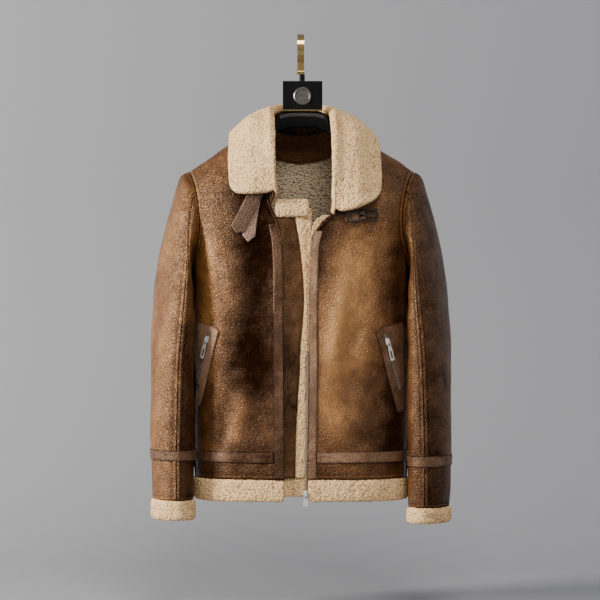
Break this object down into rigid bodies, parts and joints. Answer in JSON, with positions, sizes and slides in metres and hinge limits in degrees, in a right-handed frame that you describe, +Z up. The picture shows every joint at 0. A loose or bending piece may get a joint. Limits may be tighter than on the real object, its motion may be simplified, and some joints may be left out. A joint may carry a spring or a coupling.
{
  "type": "leather flight jacket with fleece lining on a hanger",
  "caption": "Open brown leather jacket with cream fleece collar, cuffs and hem, zip pockets and neck straps, hanging hollow on a black hanger with a brass hook.",
  "frame": {"origin": "inside top of the hanger hook's bend, where the rail carries it", "axes": "+Z up, -Y towards the viewer (the jacket's front), +X to the image's right (the wearer's left)"},
  "size_m": [0.5794, 0.2049, 0.9301],
  "materials": {
    "leather": "satin, mottled",
    "tape": "satin, stitched",
    "fleece": "curly pile",
    "dark_strap": "matt, grained",
    "light_strap": "suede-like",
    "black_plastic": "satin black",
    "black_metal": "satin black",
    "silver": "bright",
    "brass": "polished",
    "zip_cloth": "woven tape with teeth"
  },
  "bodies": {
    "jacket": {"back": "leather", "buckle_keeper": "black_metal", "buckle_tab": "leather", "collar": "fleece", "cuff_l": "fleece", "cuff_r": "fleece", "cuff_tape_l": "tape", "cuff_tape_r": "tape", "facing_l": "fleece", "front_band_l": "tape", "front_band_r": "tape", "front_l": "leather", "front_r": "leather", "front_slider": "silver", "front_zip": "zip_cloth", "hanger_body": "black_plastic", "hanger_disc": "silver", "hanger_plate": "black_plastic", "hanger_stem": "black_plastic", "hanger_trim": "brass", "hem_fleece_back": "fleece", "hem_fleece_l": "fleece", "hem_fleece_r": "fleece", "hem_tape_back": "tape", "hem_tape_l": "tape", "hem_tape_r": "tape", "hook": "brass", "hook_ferrule": "brass", "neck_facing": "leather", "placket": "leather", "placket_fleece": "fleece", "placket_hem": "fleece", "placket_roll": "fleece", "pocket_l_slider": "silver", "pocket_r_slider": "silver", "pocket_welt_l": "tape", "pocket_welt_r": "tape", "pocket_zip_l": "zip_cloth", "pocket_zip_r": "zip_cloth", "sleeve_top_l": "leather", "sleeve_top_r": "leather", "sleeve_under_l": "leather", "sleeve_under_r": "leather", "strap_dark": "dark_strap", "strap_light": "light_strap"},
    "front_pull": {"front_pull": "silver"},
    "pocket_r_pull": {"pocket_r_pull": "silver"},
    "pocket_l_pull": {"pocket_l_pull": "silver"},
    "buckle_frame": {"buckle_frame": "black_metal"},
    "buckle_prong": {"buckle_prong": "black_metal"}
  },
  "joints": [
    {"name": "front_pull_hinge", "type": "hinge", "parent": "jacket", "child": "front_pull", "pos_m": [0.0084, -0.09185, -0.871], "axis": [-1, 0, 0], "range_deg": [0, 140]},
    {"name": "pocket_r_pull_hinge", "type": "hinge", "parent": "jacket", "child": "pocket_r_pull", "pos_m": [-0.17964, -0.07136, -0.58155], "axis": [-0.7635, 0.561, 0.32], "range_deg": [0, 140]},
    {"name": "pocket_l_pull_hinge", "type": "hinge", "parent": "jacket", "child": "pocket_l_pull", "pos_m": [0.16441, -0.08076, -0.58541], "axis": [-0.8376, -0.4551, -0.3021], "range_deg": [0, 140]},
    {"name": "buckle_frame_hinge", "type": "hinge", "parent": "jacket", "child": "buckle_frame", "pos_m": [0.11654, -0.0874, -0.34892], "axis": [0.1478, 0, -0.989], "range_deg": [0, 70]},
    {"name": "buckle_prong_hinge", "type": "hinge", "parent": "buckle_frame", "child": "buckle_prong", "pos_m": [0.11654, -0.0874, -0.34892], "axis": [0.1478, 0, -0.989], "range_deg": [0, 45]}
  ]
}
